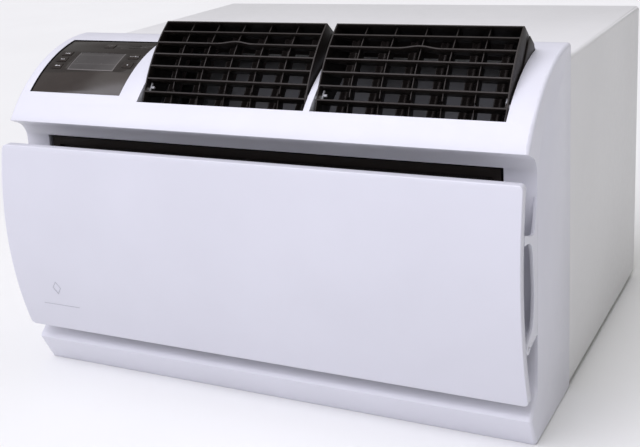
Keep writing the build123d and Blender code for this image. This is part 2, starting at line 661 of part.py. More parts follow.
# ------------------------------------------------------------ control panel
def control_panel():
    with BuildPart() as lens:
        with BuildSketch(Plane.YZ.offset(LENS_X[0])):
            crown_sector(LENS_R, LENS_A)
        extrude(amount=LENS_X[1] - LENS_X[0])
        for x, angle in KEYS.values():
            with BuildSketch(crown_plane(x, WINDOW_R, angle)):
                Rectangle(KEY_W + 2 * KEY_SLACK, KEY_L + 2 * KEY_SLACK)
            extrude(amount=WINDOW_DEPTH, mode=Mode.SUBTRACT)
        with BuildSketch(Plane.YZ.offset(DISPLAY_X[0])):
            crown_sector((175, CROWN_R + 5), DISPLAY_A)
        extrude(amount=DISPLAY_X[1] - DISPLAY_X[0], mode=Mode.SUBTRACT)
        with BuildSketch(crown_plane(SENSOR[0], WINDOW_R, SENSOR[1])):
            Circle(SENSOR_R)
        extrude(amount=WINDOW_DEPTH, mode=Mode.SUBTRACT)
    save(lens, "control_lens")

    for name, (x, angle) in KEYS.items():
        with BuildPart() as key:
            with BuildSketch(crown_plane(x, KEY_R[0], angle)):
                Rectangle(KEY_W + KEY_FLANGE[0], KEY_L + KEY_FLANGE[1])
            extrude(amount=KEY_FLANGE[2])
            with BuildSketch(crown_plane(x, KEY_R[0], angle)):
                RectangleRounded(KEY_W, KEY_L, 1)
            extrude(amount=KEY_R[1] - KEY_R[0])
        save(key, name)

    with BuildPart() as display:
        with BuildSketch(Plane.YZ.offset(DISPLAY_X[0] + 0.3)):
            crown_sector((178, LENS_R[1] - 0.3), (DISPLAY_A[0] + 0.1, DISPLAY_A[1] - 0.1))
        extrude(amount=DISPLAY_X[1] - DISPLAY_X[0] - 0.6)
    save(display, "display")

    with BuildPart() as sensor:
        with BuildSketch(crown_plane(SENSOR[0], BOARD_R[1] + 0.4, SENSOR[1])):
            Circle(SENSOR_R)
        extrude(amount=LENS_R[1] - BOARD_R[1] - 0.6)
    save(sensor, "remote_sensor")

    with BuildPart() as board:
        with BuildSketch(Plane.YZ.offset(LENS_X[0] + 3)):
            crown_sector(BOARD_R, BOARD_A)
        extrude(amount=LENS_X[1] - LENS_X[0] - 6)
        for x, angle in KEYS.values():
            with BuildSketch(crown_plane(x, BOARD_R[1] - 0.6, angle)):
                Rectangle(SWITCH, SWITCH)
            extrude(amount=SWITCH_H[0])
            with BuildSketch(crown_plane(x, BOARD_R[1] - 0.6, angle)):
                Circle(1.7)
            extrude(amount=SWITCH_H[1])
    save(board, "control_board")

    with BuildPart() as box:
        slab(BOX_X, BOX_Y, BOX_Z)
        slab(
            (BOX_X[0] + BOX_WALL, BOX_X[1] - BOX_WALL),
            (BOX_Y[0] + BOX_WALL, BOX_Y[1] - BOX_WALL),
            (BOX_Z[0] + BOX_WALL, BOX_Z[1] + 1),
            Mode.SUBTRACT,
        )
        slab(*BOX_PARTS)
    save(box, "control_box")


# ------------------------------------------------------------ cabinet and base
def u_sheet(half_w, bottom, top, bend, thickness):
    """Section of a sheet bent to an inverted U, added to an XZ sketch."""
    for inset in (0, thickness):
        with BuildLine() as shell:
            FilletPolyline(
                (-half_w + inset, bottom - inset),
                (-half_w + inset, top - inset),
                (half_w - inset, top - inset),
                (half_w - inset, bottom - inset),
                radius=bend - inset,
            )
            Line((half_w - inset, bottom - inset), (-half_w + inset, bottom - inset))
        make_face(shell.edges(), mode=Mode.SUBTRACT if inset else Mode.ADD)


def cabinet():
    with BuildPart() as wrapper:
        with BuildSketch(Plane.XZ.offset(-SEAM_Y - 0.3)):
            u_sheet(CABINET_HALF_W, CABINET_BOTTOM, CABINET_TOP, 5, SHEET)
        extrude(amount=-(REAR_Y - SEAM_Y - 0.3))
        inner = CABINET_HALF_W - SHEET + 0.2
        sheet_y = (FLANGE_Y - SHEET, FLANGE_Y)
        slab((-inner, inner), sheet_y, (CABINET_TOP - FLANGE, CABINET_TOP - 1))
        for low in (-inner, inner - FLANGE):
            slab((low, low + FLANGE), sheet_y, (CABINET_BOTTOM, CABINET_TOP - 1))
    save(wrapper, "cabinet_wrapper")

    with BuildPart() as guard:
        slab((-GUARD_HALF_W, GUARD_HALF_W), (GUARD_Y - 6.5, GUARD_Y), GUARD_Z)
        open_x = GUARD_HALF_W - 14
        open_z = (GUARD_Z[0] + 12, GUARD_Z[1] - 12)
        slab((-open_x, open_x), (GUARD_Y - 8, GUARD_Y + 1), open_z, Mode.SUBTRACT)
        count = 17
        for i in range(1, count):
            z = open_z[0] + i * (open_z[1] - open_z[0]) / count
            slab((-open_x - 1, open_x + 1), (GUARD_Y - 6, GUARD_Y - 0.8), (z - 1.6, z + 1.6))
        for i in range(1, 6):
            x = -open_x + i * open_x / 3
            slab((x - 1.6, x + 1.6), (GUARD_Y - 6.5, GUARD_Y - 2), (open_z[0] - 1, open_z[1] + 1))
    save(guard, "rear_guard")

    with BuildPart() as screws:
        with BuildSketch(Plane.XZ.offset(-FLANGE_Y)):
            for z in (60, 190, 320):
                with Locations((-CABINET_HALF_W + 12, z), (CABINET_HALF_W - 12, z)):
                    Circle(SCREW_R)
        extrude(amount=-SCREW_HEAD)
        with BuildSketch(Plane.XZ.offset(-GUARD_Y)):
            with GridLocations(GUARD_HALF_W - 8, 1, 3, 1):
                with Locations((0, GUARD_Z[1] - 8)):
                    Circle(SCREW_R)
        extrude(amount=-SCREW_HEAD)
    save(screws, "cabinet_screws")

    with BuildPart() as pan:
        slab((-PAN_HALF_W, PAN_HALF_W), (-214, REAR_Y - 5), (CABINET_BOTTOM, PAN_FLOOR))
        for low in (-PAN_HALF_W, PAN_HALF_W - SHEET):
            slab((low, low + SHEET), (SEAM_Y + 2, REAR_Y - 5), (CABINET_BOTTOM, CABINET_BOTTOM + PAN_FLANGE))
        slab((-286, 286), (GUARD_Y - 6.2, GUARD_Y - 5), (PAN_FLOOR - 0.5, 22))
        slab((-296, 296), (-214, -212.8), (PAN_FLOOR - 0.5, 28))
        with Locations((DRAIN[0], DRAIN[1], PAN_FLOOR - 4)):
            Cylinder(DRAIN_R + 2, 8)
            Cylinder(DRAIN_R, 20, mode=Mode.SUBTRACT)
        for x in (-RUNNER_X, RUNNER_X):
            with Locations([(x, y, PAN_FLOOR) for y in MOUNT_Y]):
                Cylinder(MOUNT_HOLE_R, 20, mode=Mode.SUBTRACT)
    save(pan, "base_pan")

    with BuildPart() as runners:
        for x in (-RUNNER_X, RUNNER_X):
            slab((x - RUNNER_W / 2, x + RUNNER_W / 2), RUNNER_Y, (0, CABINET_BOTTOM))
        for x in (-RUNNER_X, RUNNER_X):
            for y in MOUNT_Y:
                with Locations((x, y, CABINET_BOTTOM / 2)):
                    Cylinder(MOUNT_HOLE_R, CABINET_BOTTOM + 2, mode=Mode.SUBTRACT)
    save(runners, "base_runners")

    with BuildPart() as gland:
        with BuildSketch(Plane.YZ.offset(-HALF_W)):
            with Locations(GLAND):
                Circle(GLAND_R - 0.1)
        extrude(amount=14)
        with BuildSketch(Plane.YZ.offset(-HALF_W + SKIN + 0.1)):
            with Locations(GLAND):
                Circle(GLAND_R + 3)
        extrude(amount=3)
        with BuildSketch(Plane.YZ.offset(-HALF_W - 1)):
            with Locations(GLAND):
                Circle(CORD_R)
        extrude(amount=20, mode=Mode.SUBTRACT)
    save(gland, "cord_gland")


# ------------------------------------------------------------ coils
def finned_coil(x, y, z, name):
    """A coil block: upright fins on both sides of the sheet that stands for its tubes."""
    middle = (y[0] + y[1]) / 2
    count = int((x[1] - x[0]) / FIN_PITCH)
    with BuildPart() as coil:
        slab(x, (middle - FIN_CORE / 2, middle + FIN_CORE / 2), z)
        with BuildSketch(Plane.XY.offset(z[0])):
            with Locations(((x[0] + x[1]) / 2, middle)):
                with GridLocations((x[1] - x[0] - FIN_T) / count, 1, count + 1, 1):
                    Rectangle(FIN_T, y[1] - y[0])
        extrude(amount=z[1] - z[0])
    save(coil, name)


def coils():
    finned_coil(EVAP_X, EVAP_Y, EVAP_Z, "evaporator_coil")
    finned_coil(COND_X, COND_Y, COND_Z, "condenser_coil")

    with BuildPart() as plates:
        for x, y, z in ((EVAP_X, EVAP_Y, EVAP_Z), (COND_X, COND_Y, COND_Z)):
            for low in (x[0] - SHEET - 0.1, x[1] + 0.1):
                slab((low, low + SHEET), (y[0] - 1.5, y[1] + 1.5), (z[0], z[1] + 1.5))
    save(plates, "coil_end_plates")

    with BuildPart() as bends:
        for x, y, z, count in ((EVAP_X, EVAP_Y, EVAP_Z, 4), (COND_X, COND_Y, COND_Z, 6)):
            start = x[1] + SHEET + 0.2
            middle = (y[0] + y[1]) / 2
            pitch = (z[1] - z[0]) / count
            for i in range(count):
                low = z[0] + (i + 0.5) * pitch - 10
                with BuildLine() as path:
                    Line((start, middle, low), (start + 2, middle, low))
                    ThreePointArc(
                        (start + 2, middle, low),
                        (start + 12, middle, low + 10),
                        (start + 2, middle, low + 20),
                    )
                    Line((start + 2, middle, low + 20), (start, middle, low + 20))
                with BuildSketch(Plane(origin=(start, middle, low), z_dir=(1, 0, 0))) as section:
                    Circle(TUBE_R)
                sweep(sections=section.sketch, path=path.wire())
    save(bends, "coil_return_bends")

    with BuildPart() as tray:
        slab((EVAP_X[0] - 8, EVAP_X[1] + 8), (EVAP_Y[0] - 6, EVAP_Y[1] + 8), (46, 60))
        slab((EVAP_X[0] - 6, EVAP_X[1] + 6), (EVAP_Y[0] - 4, EVAP_Y[1] + 6), (48, 61), Mode.SUBTRACT)
    save(tray, "drip_tray")


# ------------------------------------------------------------ fan group
def fan_plane(y):
    """A plane across the fans' axis, whose normal points outdoors."""
    return Plane(origin=(FAN_X, y, FAN_Z), x_dir=(1, 0, 0), z_dir=(0, 1, 0))


def blade_plane(y, radius, angle, pitch):
    """A plane across a fan blade, with a normal along the blade."""
    a, p = radians(angle), radians(pitch)
    origin = (FAN_X + radius * cos(a), y, FAN_Z + radius * sin(a))
    chord = (-sin(a) * cos(p), sin(p), cos(a) * cos(p))
    return Plane(origin=origin, x_dir=chord, z_dir=(cos(a), 0, sin(a)))


def fans():
    with BuildPart() as wheel:
        with BuildSketch(fan_plane(WHEEL_Y[1] - 2)):
            Circle(WHEEL_R)
            Circle(SHAFT_R, mode=Mode.SUBTRACT)
        extrude(amount=2)
        with BuildSketch(fan_plane(WHEEL_Y[1] - 24)):
            Circle(WHEEL_HUB_R)
            Circle(SHAFT_R, mode=Mode.SUBTRACT)
        extrude(amount=24)
        with BuildSketch(fan_plane(WHEEL_Y[0])):
            Circle(WHEEL_R)
            Circle(WHEEL_R - WHEEL_RING, mode=Mode.SUBTRACT)
        extrude(amount=3)
        with BuildSketch(fan_plane(WHEEL_Y[0] + 1)):
            with PolarLocations(WHEEL_R - 6, WHEEL_BLADES):
                Rectangle(9, 1.2, rotation=35)
        extrude(amount=WHEEL_Y[1] - WHEEL_Y[0] - 2)
    save(wheel, "blower_wheel")

    with BuildPart() as fan:
        with BuildSketch(fan_plane(FAN_Y[0])):
            Circle(HUB_R)
            Circle(SHAFT_R, mode=Mode.SUBTRACT)
        extrude(amount=HUB_L)
        for i in range(BLADES):
            middle = sum(FAN_Y) / 2 - 2
            with BuildSketch(blade_plane(middle, HUB_R - 4, i * 360 / BLADES, BLADE_PITCH)):
                RectangleRounded(BLADE_W, BLADE_T, 1.1)
            extrude(amount=FAN_R - HUB_R + 1)
        with BuildSketch(fan_plane(FAN_Y[1] - 10)):
            Circle(FAN_R)
            Circle(FAN_R - 4, mode=Mode.SUBTRACT)
        extrude(amount=10)
    save(fan, "condenser_fan")

    with BuildPart() as shaft:
        with BuildSketch(fan_plane(WHEEL_Y[0] + 20)):
            Circle(SHAFT_R)
        extrude(amount=FAN_Y[1] - WHEEL_Y[0] - 18)
    save(shaft, "motor_shaft")

    with BuildPart() as motor:
        with BuildSketch(fan_plane(-MOTOR_HALF)):
            Circle(MOTOR_R)
        extrude(amount=2 * MOTOR_HALF)
        fillet(motor.edges().filter_by(GeomType.CIRCLE), radius=8)
        with BuildSketch(fan_plane(-MOTOR_NOSE)):
            Circle(MOTOR_NOSE_R)
        extrude(amount=2 * MOTOR_NOSE)
        with BuildSketch(fan_plane(-MOTOR_NOSE)):
            Circle(SHAFT_R + RUN)
        extrude(amount=2 * MOTOR_NOSE, mode=Mode.SUBTRACT)
    save(motor, "fan_motor")

    with BuildPart() as mount:
        foot_x = (FAN_X - CRADLE_HALF_W - 20, FAN_X + CRADLE_HALF_W + 20)
        slab(foot_x, (-CRADLE_Y, CRADLE_Y), (PAN_FLOOR + 0.1, PAN_FLOOR + 3))
        for y in (-CRADLE_Y, CRADLE_Y - 3):
            with BuildSketch(Plane.XZ.offset(-y)):
                with Locations((FAN_X, (PAN_FLOOR + FAN_Z) / 2)):
                    Rectangle(2 * CRADLE_HALF_W, FAN_Z - PAN_FLOOR - 1)
                with Locations((FAN_X, FAN_Z)):
                    Circle(MOTOR_R + 0.1, mode=Mode.SUBTRACT)
            extrude(amount=-3)
        for low in (FAN_X - CRADLE_HALF_W, FAN_X + CRADLE_HALF_W - 3):
            slab((low, low + 3), (2 - CRADLE_Y, CRADLE_Y - 2), (PAN_FLOOR + 2, 120))
    save(mount, "motor_mount")

    with BuildPart() as shroud:
        with BuildSketch(Plane.XZ.offset(-SHROUD_Y)):
            with Locations((0, SHROUD_Z)):
                Rectangle(SHROUD_W, SHROUD_H)
            with Locations((FAN_X, FAN_Z)):
                Circle(FAN_R + 6, mode=Mode.SUBTRACT)
        extrude(amount=-SHEET)
        with BuildSketch(fan_plane(SHROUD_Y - 26)):
            Circle(FAN_R + 8)
            Circle(FAN_R + 6, mode=Mode.SUBTRACT)
        extrude(amount=26.5)
    save(shroud, "fan_shroud")

    with BuildPart() as housing:
        wall = WHEEL_R + HOUSING_GAP
        top = DUCT_Z[0] - 0.3
        with BuildSketch(Plane.XZ.offset(-WHEEL_Y[0] + 6)):
            with Locations((FAN_X, FAN_Z)):
                Circle(wall)
            with Locations((FAN_X, (FAN_Z + top) / 2)):
                Rectangle(2 * wall, top - FAN_Z)
            with Locations((FAN_X, FAN_Z)):
                Circle(WHEEL_R - 18, mode=Mode.SUBTRACT)
        extrude(amount=-DUCT_WALL)
        with BuildSketch(Plane.XZ.offset(-WHEEL_Y[0] + 5)):
            with Locations((FAN_X, FAN_Z)):
                Circle(wall)
            with Locations((FAN_X, (FAN_Z + top) / 2)):
                Rectangle(2 * wall, top - FAN_Z)
            with Locations((FAN_X, FAN_Z)):
                Circle(wall - HOUSING_WALL, mode=Mode.SUBTRACT)
            with Locations((FAN_X, (FAN_Z + top) / 2 + 1)):
                Rectangle(2 * (wall - HOUSING_WALL), top - FAN_Z + 2, mode=Mode.SUBTRACT)
        extrude(amount=-(BULKHEAD_Y - WHEEL_Y[0] + 4.6))
    save(housing, "blower_housing")

    with BuildPart() as duct:
        slab(DUCT_X, DUCT_Y, DUCT_Z)
        slab(
            (DUCT_X[0] + DUCT_WALL, DUCT_X[1] - DUCT_WALL),
            (DUCT_Y[0] + DUCT_WALL, DUCT_Y[1] - DUCT_WALL),
            (DUCT_Z[0] + DUCT_WALL, DUCT_Z[1] + 1),
            Mode.SUBTRACT,
        )
        slab(DUCT_X, (DUCT_Y[1] - DUCT_WALL, DUCT_Y[1]), (DUCT_Z[0], 352))
        slab(
            (FAN_X - WHEEL_R - 12, FAN_X + WHEEL_R + 12),
            (WHEEL_Y[0] - 4, DUCT_Y[1] - DUCT_WALL - 0.1),
            (DUCT_Z[0] - 1, DUCT_Z[0] + 2),
            Mode.SUBTRACT,
        )
    save(duct, "discharge_duct")

    with BuildPart() as bulkhead:
        slab((-300, 300), (BULKHEAD_Y, BULKHEAD_Y + SHEET), (PAN_FLOOR + 0.1, 362))
        with BuildSketch(fan_plane(BULKHEAD_Y - 1)):
            Circle(22)
            for local in LINE_HOLES:
                with Locations((local[0] - FAN_X, FAN_Z - local[1])):
                    Circle(LINE_HOLE_R)
        extrude(amount=4, mode=Mode.SUBTRACT)
    save(bulkhead, "bulkhead")


# ------------------------------------------------------------ compressor and lines
def tube(points, radius, bend, name):
    """A refrigerant line along a bent centre line."""
    first = Vector(*points[1]) - Vector(*points[0])
    with BuildPart() as line:
        with BuildLine() as path:
            FilletPolyline(*points, radius=bend)
        with BuildSketch(Plane(origin=points[0], z_dir=first)):
            Circle(radius)
        sweep(path=path.wire())
    save(line, name)


def refrigeration():
    x, y = COMPRESSOR
    with BuildPart() as can:
        with BuildSketch(Plane.XY.offset(COMPRESSOR_Z[0])):
            with Locations((x, y)):
                Circle(COMPRESSOR_R)
        extrude(amount=COMPRESSOR_Z[1] - COMPRESSOR_Z[0])
        fillet(can.faces().sort_by(Axis.Z)[-1].edges(), radius=28)
        with BuildSketch(Plane.XY.offset(COMPRESSOR_Z[0] - 4)):
            with Locations((x, y)):
                with PolarLocations(COMPRESSOR_R + 4, 3):
                    Circle(FOOT_R)
                Circle(COMPRESSOR_R + 2)
        extrude(amount=4.5)
    save(can, "compressor")

    with BuildPart() as grommets:
        for i in range(3):
            a = radians(120 * i)
            place = (x + (COMPRESSOR_R + 4) * cos(a), y + (COMPRESSOR_R + 4) * sin(a))
            with BuildSketch(Plane.XY.offset(PAN_FLOOR + 0.1)):
                with Locations(place):
                    Circle(GROMMET_R)
            extrude(amount=COMPRESSOR_Z[0] - 4.2 - PAN_FLOOR)
    save(grommets, "compressor_grommets")

    evap_y, cond_y = sum(EVAP_Y) / 2, sum(COND_Y) / 2
    (hole_x, high), (_, low) = LINE_HOLES
    evap_x = EVAP_X[0] - SHEET - 0.3
    cond_x = COND_X[0] - SHEET - 0.4
    wall_x = cond_x - 10.6
    suction = [
        (x - COMPRESSOR_R - 0.2, y, SUCTION_Z),
        (hole_x - 16, y, SUCTION_Z),
        (hole_x, y - 60, high),
        (hole_x, evap_y, high),
        (evap_x, evap_y, high),
    ]
    discharge = [
        (x, y, COMPRESSOR_Z[1] + 0.2),
        (x, y, DISCHARGE_Z - 20),
        (x, COND_Y[0] - 21, DISCHARGE_Z),
        (wall_x, COND_Y[0] - 21, DISCHARGE_Z),
        (wall_x, cond_y, DISCHARGE_Z),
        (cond_x, cond_y, DISCHARGE_Z),
    ]
    liquid = [
        (cond_x, cond_y, LIQUID_Z),
        (wall_x, cond_y, LIQUID_Z),
        (wall_x, COND_Y[0] - 25, LIQUID_Z + 20),
        (hole_x, 20, low),
        (hole_x, evap_y, low),
        (evap_x, evap_y, low),
    ]
    tube(suction, 6, 9, "suction_line")
    tube(discharge, 4, 8, "discharge_line")
    tube(liquid, 3, 4, "liquid_line")


front_bezel()
panel_arms()
intake_panel()
air_filter()
for centre, side_name in zip(MOUTH_X, ("left", "right")):
    louvre_grille(centre, side_name)
    for number, x in enumerate(VANE_X, start=1):
        vane(centre + x, f"vane_{side_name}_{number}")
    vane_link(centre, side_name)
control_panel()
cabinet()
coils()
fans()
refrigeration()
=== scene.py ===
"""Looks of a window air conditioner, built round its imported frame.

Metres; +X to the right seen from the room, +Y towards the outdoors, +Z up. Small shapes such as
marks, tubes and screw heads are given in millimetres and scaled by MM.
"""

import json
import math

import bmesh
import bpy
from mathutils import Matrix, Vector


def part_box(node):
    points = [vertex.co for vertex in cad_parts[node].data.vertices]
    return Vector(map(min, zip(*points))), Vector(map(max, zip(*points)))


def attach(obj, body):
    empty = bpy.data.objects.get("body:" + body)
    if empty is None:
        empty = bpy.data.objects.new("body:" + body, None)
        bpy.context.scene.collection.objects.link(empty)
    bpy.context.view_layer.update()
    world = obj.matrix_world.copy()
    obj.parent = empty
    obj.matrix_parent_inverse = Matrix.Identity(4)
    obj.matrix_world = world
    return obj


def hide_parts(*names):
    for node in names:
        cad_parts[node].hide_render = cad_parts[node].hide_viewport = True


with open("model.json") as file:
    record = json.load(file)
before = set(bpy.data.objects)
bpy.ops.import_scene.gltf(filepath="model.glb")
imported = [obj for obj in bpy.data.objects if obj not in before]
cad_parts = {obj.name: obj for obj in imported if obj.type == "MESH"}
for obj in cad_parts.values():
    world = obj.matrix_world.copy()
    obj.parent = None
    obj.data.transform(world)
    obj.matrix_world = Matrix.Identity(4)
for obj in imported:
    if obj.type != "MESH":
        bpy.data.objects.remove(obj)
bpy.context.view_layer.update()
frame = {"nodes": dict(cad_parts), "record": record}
nodes = frame["nodes"]

MM = 0.001
ACROSS = Vector((1.0, 0.0, 0.0))

# the camera stands in the room, a little to the right of the unit; angles in degrees
VIEW_PLACE = (0.5792, -1.2117, 0.5802)
VIEW_AZIMUTH, VIEW_ELEVATION, VIEW_ROLL = 27.87, 14.84, -3.42
VIEW_LENS = 62.76
VIEW_SHIFT = (0.0352, -0.1055)


# ------------------------------------------------------------ materials
def shade(colour, gain):
    return tuple(min(1.0, c * gain) for c in colour[:3]) + (1.0,)


class Shader:
    """A small helper round one material's node tree."""

    def __init__(self, name):
        self.material = bpy.data.materials.new(name)
        self.material.use_nodes = True
        self.tree = self.material.node_tree
        self.bsdf = self.tree.nodes["Principled BSDF"]
        self.place = self.add("ShaderNodeTexCoord").outputs["Object"]

    def add(self, kind, **values):
        node = self.tree.nodes.new(kind)
        for key, value in values.items():
            if isinstance(getattr(node, key, None), (str, bool, int, float)):
                setattr(node, key, value)
            else:
                node.inputs[key.replace("_", " ")].default_value = value
        return node

    def link(self, source, target):
        self.tree.links.new(source, target)

    def feed(self, value, target):
        """Sets a socket to a plain value, or links it to another node's output."""
        if isinstance(value, (int, float, tuple)):
            target.default_value = value
        else:
            self.link(value, target)

    def set(self, **values):
        for key, value in values.items():
            self.bsdf.inputs[key.replace("_", " ")].default_value = value

    # patterns; scales are per metre
    def noise(self, scale, detail=4.0, at=None):
        node = self.add("ShaderNodeTexNoise", Scale=scale, Detail=detail)
        self.link(at or self.place, node.inputs["Vector"])
        return node.outputs["Fac"]

    def cells(self, scale):
        node = self.add("ShaderNodeTexVoronoi", Scale=scale)
        self.link(self.place, node.inputs["Vector"])
        return node.outputs

    def axes(self):
        node = self.add("ShaderNodeSeparateXYZ")
        self.link(self.place, node.inputs[0])
        return node.outputs

    # arithmetic
    def ramp(self, source, low, high, colours):
        """A colour ramp between two positions, with one colour at each end."""
        node = self.add("ShaderNodeValToRGB")
        for stop, position, colour in zip(node.color_ramp.elements, (low, high), colours):
            stop.position = position
            stop.color = colour
        self.link(source, node.inputs["Fac"])
        return node.outputs["Color"]

    def span(self, source, low, high, out_low, out_high):
        """Maps the range low to high onto the range out_low to out_high."""
        node = self.add("ShaderNodeMapRange")
        sockets = ("From Min", "From Max", "To Min", "To Max")
        for socket, value in zip(sockets, (low, high, out_low, out_high)):
            node.inputs[socket].default_value = value
        self.link(source, node.inputs["Value"])
        return node.outputs["Result"]

    def mix(self, factor, first, second):
        """Mixes two colours; the colour sockets of the node are numbers 6 and 7."""
        node = self.add("ShaderNodeMix", data_type="RGBA")
        for value, socket in ((factor, 0), (first, 6), (second, 7)):
            self.feed(value, node.inputs[socket])
        return node.outputs[2]

    def maths(self, operation, first, second=0.0):
        node = self.add("ShaderNodeMath", operation=operation)
        self.feed(first, node.inputs[0])
        self.feed(second, node.inputs[1])
        return node.outputs[0]

    # what the surface takes from them
    def colour(self, source):
        self.link(source, self.bsdf.inputs["Base Color"])

    def mottle(self, source, colour, gains, stops=(0.3, 0.7)):
        """Lets the surface wander between two gains of one colour."""
        self.colour(self.ramp(source, *stops, [shade(colour, gain) for gain in gains]))

    def roughness(self, source, limits, stops=(0.3, 0.7)):
        """Lets the roughness wander between two limits."""
        self.link(self.span(source, *stops, *limits), self.bsdf.inputs["Roughness"])

    def bump(self, *layers):
        """Bump layers, each (height source, depth in metres)."""
        normal = None
        for height, depth in layers:
            node = self.add("ShaderNodeBump", Strength=1.0, Distance=depth)
            self.link(height, node.inputs["Height"])
            if normal:
                self.link(normal, node.inputs["Normal"])
            normal = node.outputs["Normal"]
        self.link(normal, self.bsdf.inputs["Normal"])


NEUTRAL = (1.0, 1.0, 1.0, 1.0)
WARM = (1.0, 0.93, 0.89, 1.0)  # tint of the dark plastics' sheen


def moulded(name, colour, rough, spread=0.015, gloss=0.5, tint=NEUTRAL):
    """Injection-moulded plastic: a fine spark texture, faint flow marks and uneven gloss."""
    s = Shader(name)
    grain, depth = 2600.0, 0.00002
    s.mottle(s.noise(9.0, 3.0), colour, (1 - spread, 1 + spread), (0.35, 0.65))
    s.roughness(s.noise(70.0, 5.0), (rough - 0.05, rough + 0.05))
    s.bump((s.noise(grain, 2.0), depth), (s.noise(30.0, 2.0), depth * 2))
    s.set(IOR=1.49, Specular_IOR_Level=gloss, Specular_Tint=tint)
    return s.material


def glossy(name, colour, rough, coat, gloss=0.5):
    """Gloss plastic: deep colour under a clear coat, with the faintest waviness."""
    s = Shader(name)
    s.mottle(s.noise(25.0), colour, (0.92, 1.08))
    s.roughness(s.noise(160.0, 4.0), (rough, rough + 0.04), (0.35, 0.65))
    s.bump((s.noise(18.0, 2.0), 0.00003))
    s.set(Coat_Weight=coat, Coat_Roughness=0.03, IOR=1.5, Specular_IOR_Level=gloss)
    return s.material


def powder_coat(name, colour, rough):
    """Powder-coated sheet: orange peel over a slightly uneven sheet."""
    s = Shader(name)
    s.mottle(s.noise(6.0, 4.0), colour, (0.975, 1.02))
    s.roughness(s.noise(120.0, 5.0), (rough - 0.06, rough + 0.06))
    s.bump((s.noise(520.0, 2.0), 0.00003), (s.noise(5.0, 1.0), 0.00025))
    s.set(IOR=1.5)
    return s.material


def galvanised(name, colour):
    """Zinc-coated sheet with its spangle."""
    s = Shader(name)
    grey = s.add("ShaderNodeRGBToBW")
    s.link(s.cells(110.0)["Color"], grey.inputs[0])
    spangle = grey.outputs[0]
    s.mottle(spangle, colour, (0.8, 1.15), (0.1, 0.9))
    s.roughness(spangle, (0.32, 0.55), (0.0, 1.0))
    s.bump((s.noise(300.0, 3.0), 0.00002))
    s.set(Metallic=0.95)
    return s.material


def metal(name, colour, rough, drawn):
    """Bare metal with fine drawn or brushed lines, which run along the smallest factor."""
    s = Shader(name)
    stretch = s.add("ShaderNodeMapping")
    stretch.inputs["Scale"].default_value = drawn
    s.link(s.place, stretch.inputs["Vector"])
    lines = s.noise(900.0, 3.0, at=stretch.outputs["Vector"])
    s.mottle(s.noise(24.0, 5.0), colour, (0.82, 1.08), (0.3, 0.72))
    s.roughness(lines, (rough - 0.07, rough + 0.1))
    s.bump((lines, 0.00001))
    s.set(Metallic=1.0)
    return s.material


def soft_rubber(name, colour):
    s = Shader(name)
    s.mottle(s.noise(40.0, 5.0), colour, (0.8, 1.6), (0.3, 0.75))
    s.roughness(s.noise(400.0), (0.6, 0.8))
    s.bump((s.noise(1800.0, 3.0), 0.00004))
    return s.material


def foam(name, colour):
    """Moulded bead foam, darker in the hollows between beads as painted shade."""
    s = Shader(name)
    beads = s.cells(300.0)["Distance"]
    # lighter at the middle of each bead, darker in the hollows between them: painted shade
    s.mottle(beads, colour, (1.05, 0.8), (0.1, 0.7))
    s.bump((beads, -0.0003))
    s.set(Roughness=0.9)
    return s.material


def filter_net(name, colour):
    """Fine woven nylon: threads both ways over a dark ground."""
    s = Shader(name)
    thread_pitch = 0.0016
    x, _, z = s.axes()
    threads = []
    for axis in (x, z):
        wave = s.maths("SINE", s.maths("MULTIPLY", axis, math.tau / thread_pitch))
        threads.append(s.span(wave, 0.55, 0.95, 0.0, 1.0))
    net = s.maths("MAXIMUM", *threads)
    s.colour(s.mix(net, shade(colour, 0.15), shade(colour, 1.6)))
    s.roughness(net, (0.9, 0.45), (0.0, 1.0))
    s.bump((net, 0.0003))
    return s.material


def circuit_board(name, colour):
    """Lacquered board with its tracks."""
    s = Shader(name)
    tracks = s.add("ShaderNodeTexBrick", Scale=120.0, Mortar_Size=0.05)
    s.link(s.place, tracks.inputs["Vector"])
    s.colour(s.mix(tracks.outputs["Fac"], shade(colour, 1.0), shade(colour, 2.2)))
    s.bump((tracks.outputs["Fac"], 0.00005))
    s.set(Roughness=0.35)
    return s.material


def window_lens(name, colour):
    """The control window: gloss brown-black, tinted a tone darker round the display; the lighter,
    warmer tone below it, up to its wavy edge, is a painted reflection.
    """
    s = Shader(name)
    # the wavy edge between the tones follows a reflection on the gloss
    swell_rate, swell_height = 38.0, 0.0022  # the tones meet in a slow curve along X
    fade = (-0.1955, -0.1925)  # Y where the lower tone has gone over into the upper
    x, y, _ = s.axes()
    curve = s.maths("SINE", s.maths("MULTIPLY", x, swell_rate))
    edge = s.maths("ADD", y, s.maths("MULTIPLY", curve, swell_height))
    # mask of the lower tone: painted reflection under the wavy edge
    below = s.span(edge, *fade, 1.0, 0.0)
    cloud = s.noise(30.0, 3.0)
    dark = s.ramp(cloud, 0.3, 0.7, (shade(colour, 0.75), shade(colour, 1.0)))
    lower_tone_and_reflection = s.ramp(cloud, 0.3, 0.7, (shade(colour, 1.3), shade(colour, 1.6)))
    s.colour(s.mix(below, dark, lower_tone_and_reflection))
    s.roughness(s.noise(150.0, 4.0), (0.16, 0.22), (0.35, 0.65))
    s.bump((s.noise(14.0, 2.0), 0.00004))
    s.set(Specular_IOR_Level=0.35, Coat_Weight=0.1, Coat_Roughness=0.15, IOR=1.5)
    return s.material


